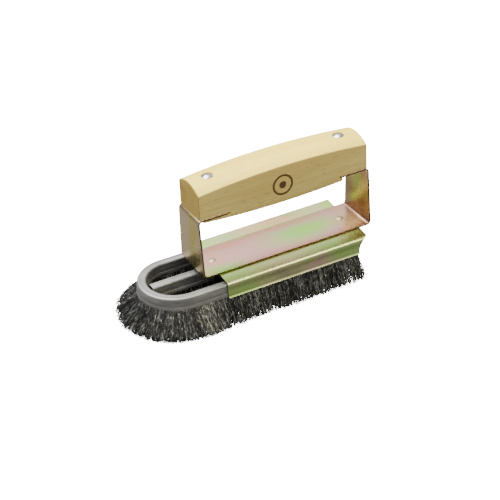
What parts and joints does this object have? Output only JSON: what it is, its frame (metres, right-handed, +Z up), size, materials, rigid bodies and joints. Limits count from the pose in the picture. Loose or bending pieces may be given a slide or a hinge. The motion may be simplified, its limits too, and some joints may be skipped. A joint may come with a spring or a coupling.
{
  "type": "wire brush",
  "caption": "Hand wire brush: wooden handle on a bent steel bridge bracket over a lipped rail that holds a U-shaped and a straight crimped-wire strip brush.",
  "frame": {"origin": "on the brush face, the plane of the wire tips, straight below the middle of the handle", "axes": "+X along the brush towards the square end of the strips, away from the U bend; +Y across the brush; +Z up towards the handle"},
  "size_m": [0.1947, 0.0856, 0.1082],
  "materials": {
    "wood": "pale beech, sanded and thinly varnished, satin",
    "chromated_steel": "yellow chromated zinc plate with a green and pink sheen, semi-gloss",
    "rivet_steel": "bright zinc plate, glossy",
    "strip_steel": "rolled galvanised strip with fine lengthwise lines, satin",
    "wire_steel": "dark crimped steel wire, semi-gloss"
  },
  "bodies": {
    "frame": {"handle": "wood", "bracket": "chromated_steel", "handle_rivet_left": "rivet_steel", "handle_rivet_right": "rivet_steel", "carrier": "chromated_steel", "base_rivet_left": "chromated_steel", "base_rivet_right": "chromated_steel", "spacer_rail_front": "chromated_steel", "spacer_rail_back": "chromated_steel"},
    "brush_insert": {"u_strip_channel": "strip_steel", "u_strip_core_wire": "wire_steel", "u_strip_wires": "wire_steel", "centre_strip_channel": "strip_steel", "centre_strip_core_wire": "wire_steel", "centre_strip_wires": "wire_steel"}
  },
  "joints": [
    {"name": "insert_slide", "type": "slide", "parent": "frame", "child": "brush_insert", "axis": [-1, 0, 0], "range_m": [0, 0.105]}
  ]
}
